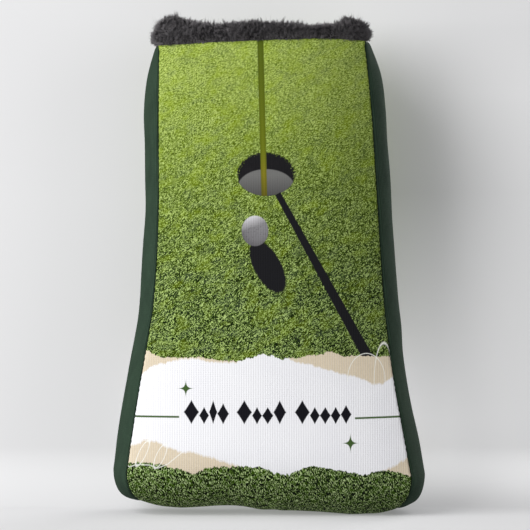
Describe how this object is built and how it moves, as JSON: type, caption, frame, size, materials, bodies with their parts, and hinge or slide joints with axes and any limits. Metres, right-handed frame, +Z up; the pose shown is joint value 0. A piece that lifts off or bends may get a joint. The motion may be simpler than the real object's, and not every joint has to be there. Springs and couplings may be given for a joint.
{
  "type": "putter head cover",
  "caption": "Tall padded fabric sleeve with a furry cuff round its open mouth and gusseted sides, flaring to a rounded base, that slips over a putter head.",
  "frame": {"origin": "the middle of the base, on the plane the cover stands on", "axes": "+Z up from the base to the mouth, +X to the right as the front panel is seen, front panel facing -Y"},
  "size_m": [0.1376, 0.063, 0.2227],
  "materials": {
    "printed_knit": "fine ribbed polyester knit, dye-printed with turf, a hole, a ball and a torn-paper band, matt",
    "green_knit": "plain dark green polyester knit with fine upright ribs, matt",
    "foam_padding": null,
    "pile_lining": "short curly charcoal pile",
    "faux_fur": "charcoal faux fur, soft short pile",
    "green_thread": "dark green polyester sewing thread",
    "black_thread": "black polyester sewing thread",
    "elastic_band": "flat black woven elastic"
  },
  "bodies": {
    "root": {"front_panel": "printed_knit", "back_panel": "printed_knit", "left_gusset": "green_knit", "right_gusset": "green_knit", "front_padding": "foam_padding", "back_padding": "foam_padding", "left_padding": "foam_padding", "right_padding": "foam_padding", "front_lining": "pile_lining", "back_lining": "pile_lining", "left_lining": "pile_lining", "right_lining": "pile_lining", "left_side_seam_thread": "green_thread", "right_side_seam_thread": "green_thread", "base_seam_thread": "green_thread", "mouth_seam_thread": "green_thread", "left_lining_thread": "black_thread", "right_lining_thread": "black_thread", "base_lining_thread": "black_thread", "fur_cuff": "faux_fur", "cuff_elastic": "elastic_band"}
  },
  "joints": []
}
